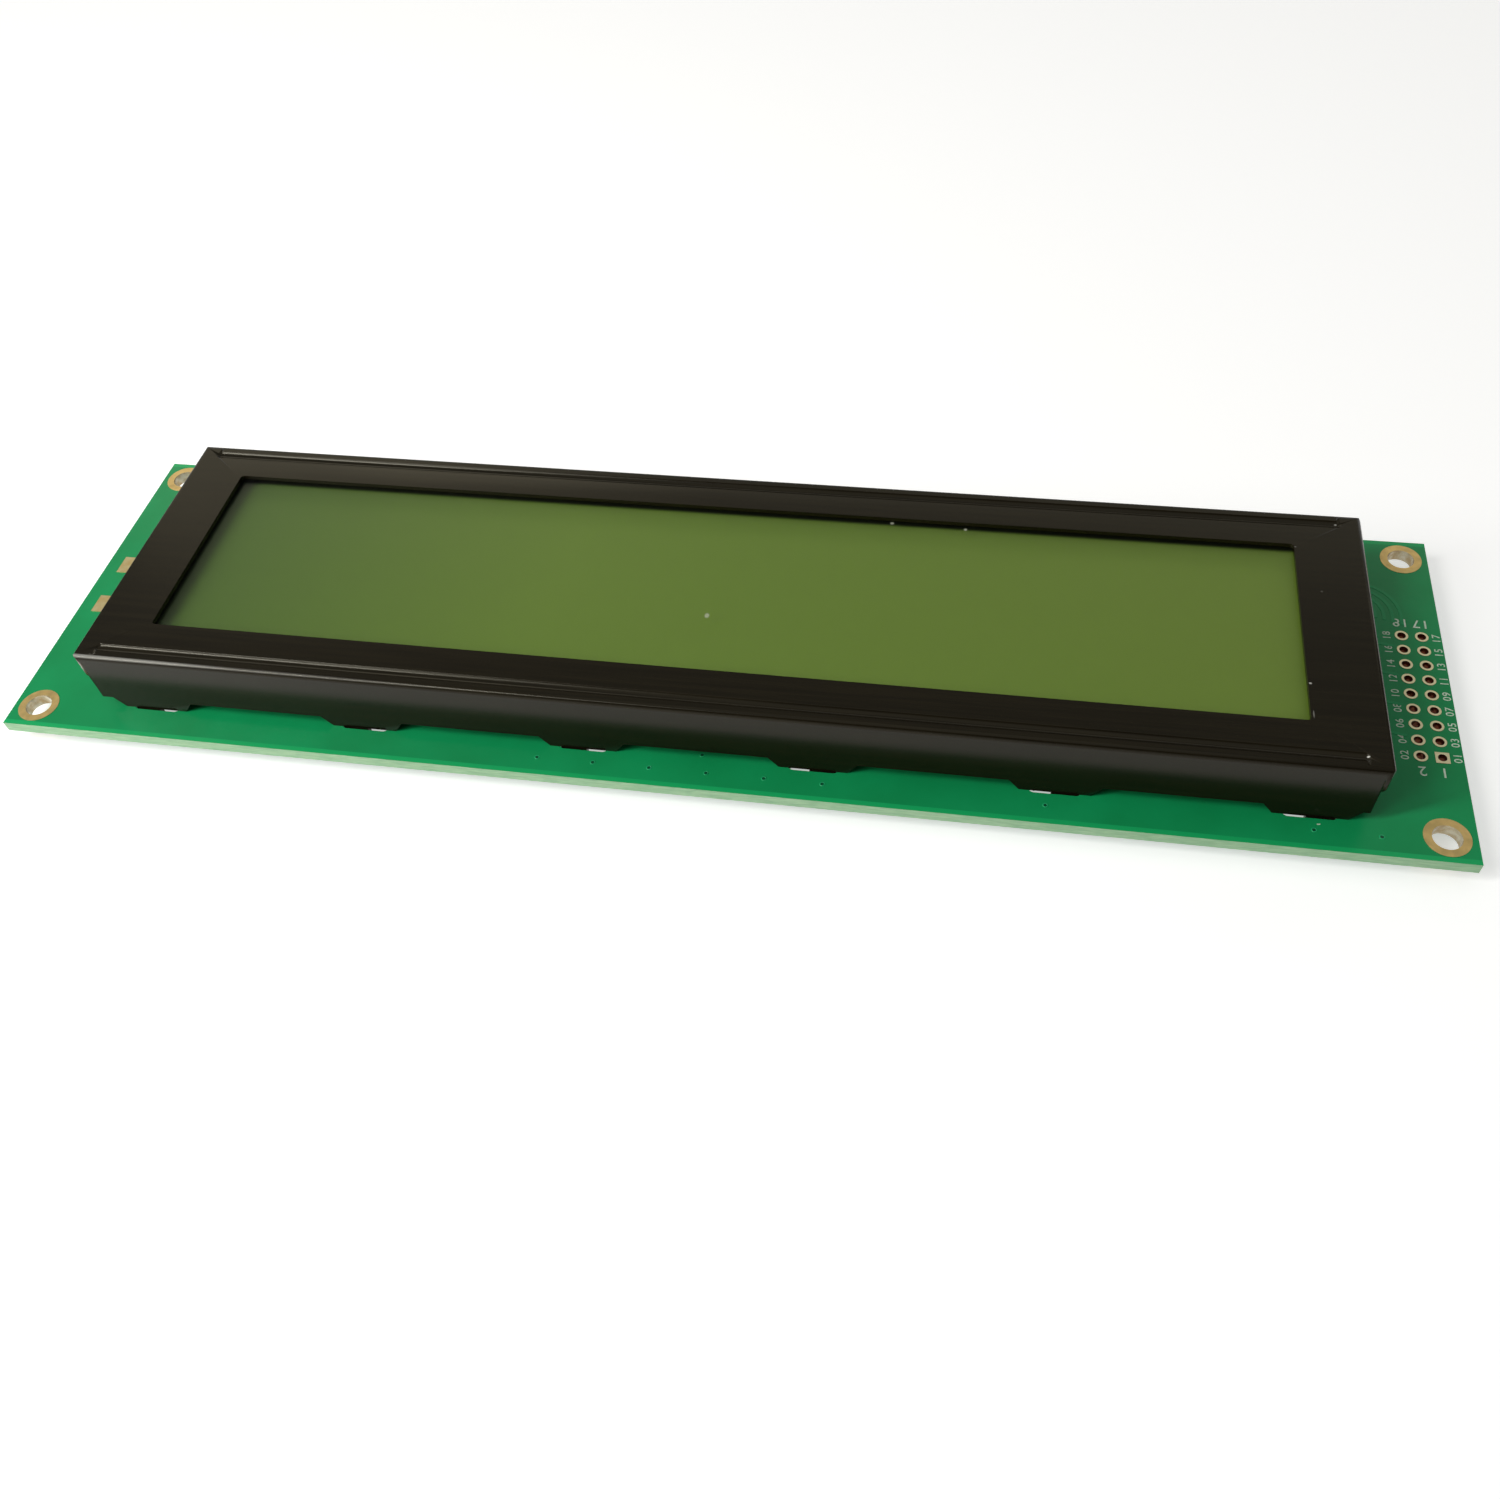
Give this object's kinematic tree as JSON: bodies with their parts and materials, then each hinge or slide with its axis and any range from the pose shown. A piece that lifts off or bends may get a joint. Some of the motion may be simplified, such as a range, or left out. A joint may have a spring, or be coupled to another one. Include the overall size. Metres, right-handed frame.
{
  "type": "character lcd module",
  "caption": "Wide character LCD module: a black steel bezel with a long green window on a green circuit board, with corner mounting holes and a header at one end.",
  "frame": {"origin": "centre of the four mounting holes, on the back face of the circuit board", "axes": "+X along the length, towards the pin header; +Y across the board, from the side of pin 1 to the far side; +Z out of the display, towards the viewer"},
  "size_m": [0.19, 0.054, 0.0136],
  "materials": {
    "board": "solder mask, satin",
    "gold": "immersion gold",
    "bezel_paint": "satin black",
    "polarizer": "anti-glare",
    "cell_glass": "polished",
    "seal_resin": "cured resin",
    "reflector_film": "satin film",
    "connector_rubber": "matt silicone",
    "led_board": "white mask",
    "white_plastic": "moulded, satin",
    "diffuser": "opal",
    "led": "clear resin",
    "tinned_wire": "tinned",
    "solder": "bright",
    "silicon": "polished",
    "epoxy": "cast, matt",
    "resistor_body": "glazed",
    "capacitor_body": "fired"
  },
  "bodies": {
    "root": {"circuit_board": "board", "mounting_pads": "gold", "header_pads": "gold", "backlight_pads": "gold", "contact_fingers": "gold", "bezel": "bezel_paint", "front_polarizer": "polarizer", "front_glass": "cell_glass", "rear_glass": "cell_glass", "cell_end_seal": "seal_resin", "rear_polarizer": "reflector_film", "front_rubber_connector": "connector_rubber", "rear_rubber_connector": "connector_rubber", "backlight_board": "led_board", "backlight_frame": "white_plastic", "backlight_diffuser": "diffuser", "backlight_leds": "led", "backlight_pins": "tinned_wire", "backlight_pin_solder": "solder", "controller_dies": "silicon", "controller_blobs": "epoxy", "driver_dies": "silicon", "driver_blobs": "epoxy", "chip_resistors": "resistor_body", "chip_capacitors": "capacitor_body", "backlight_resistors": "resistor_body", "chip_solder": "solder"}
  },
  "joints": []
}
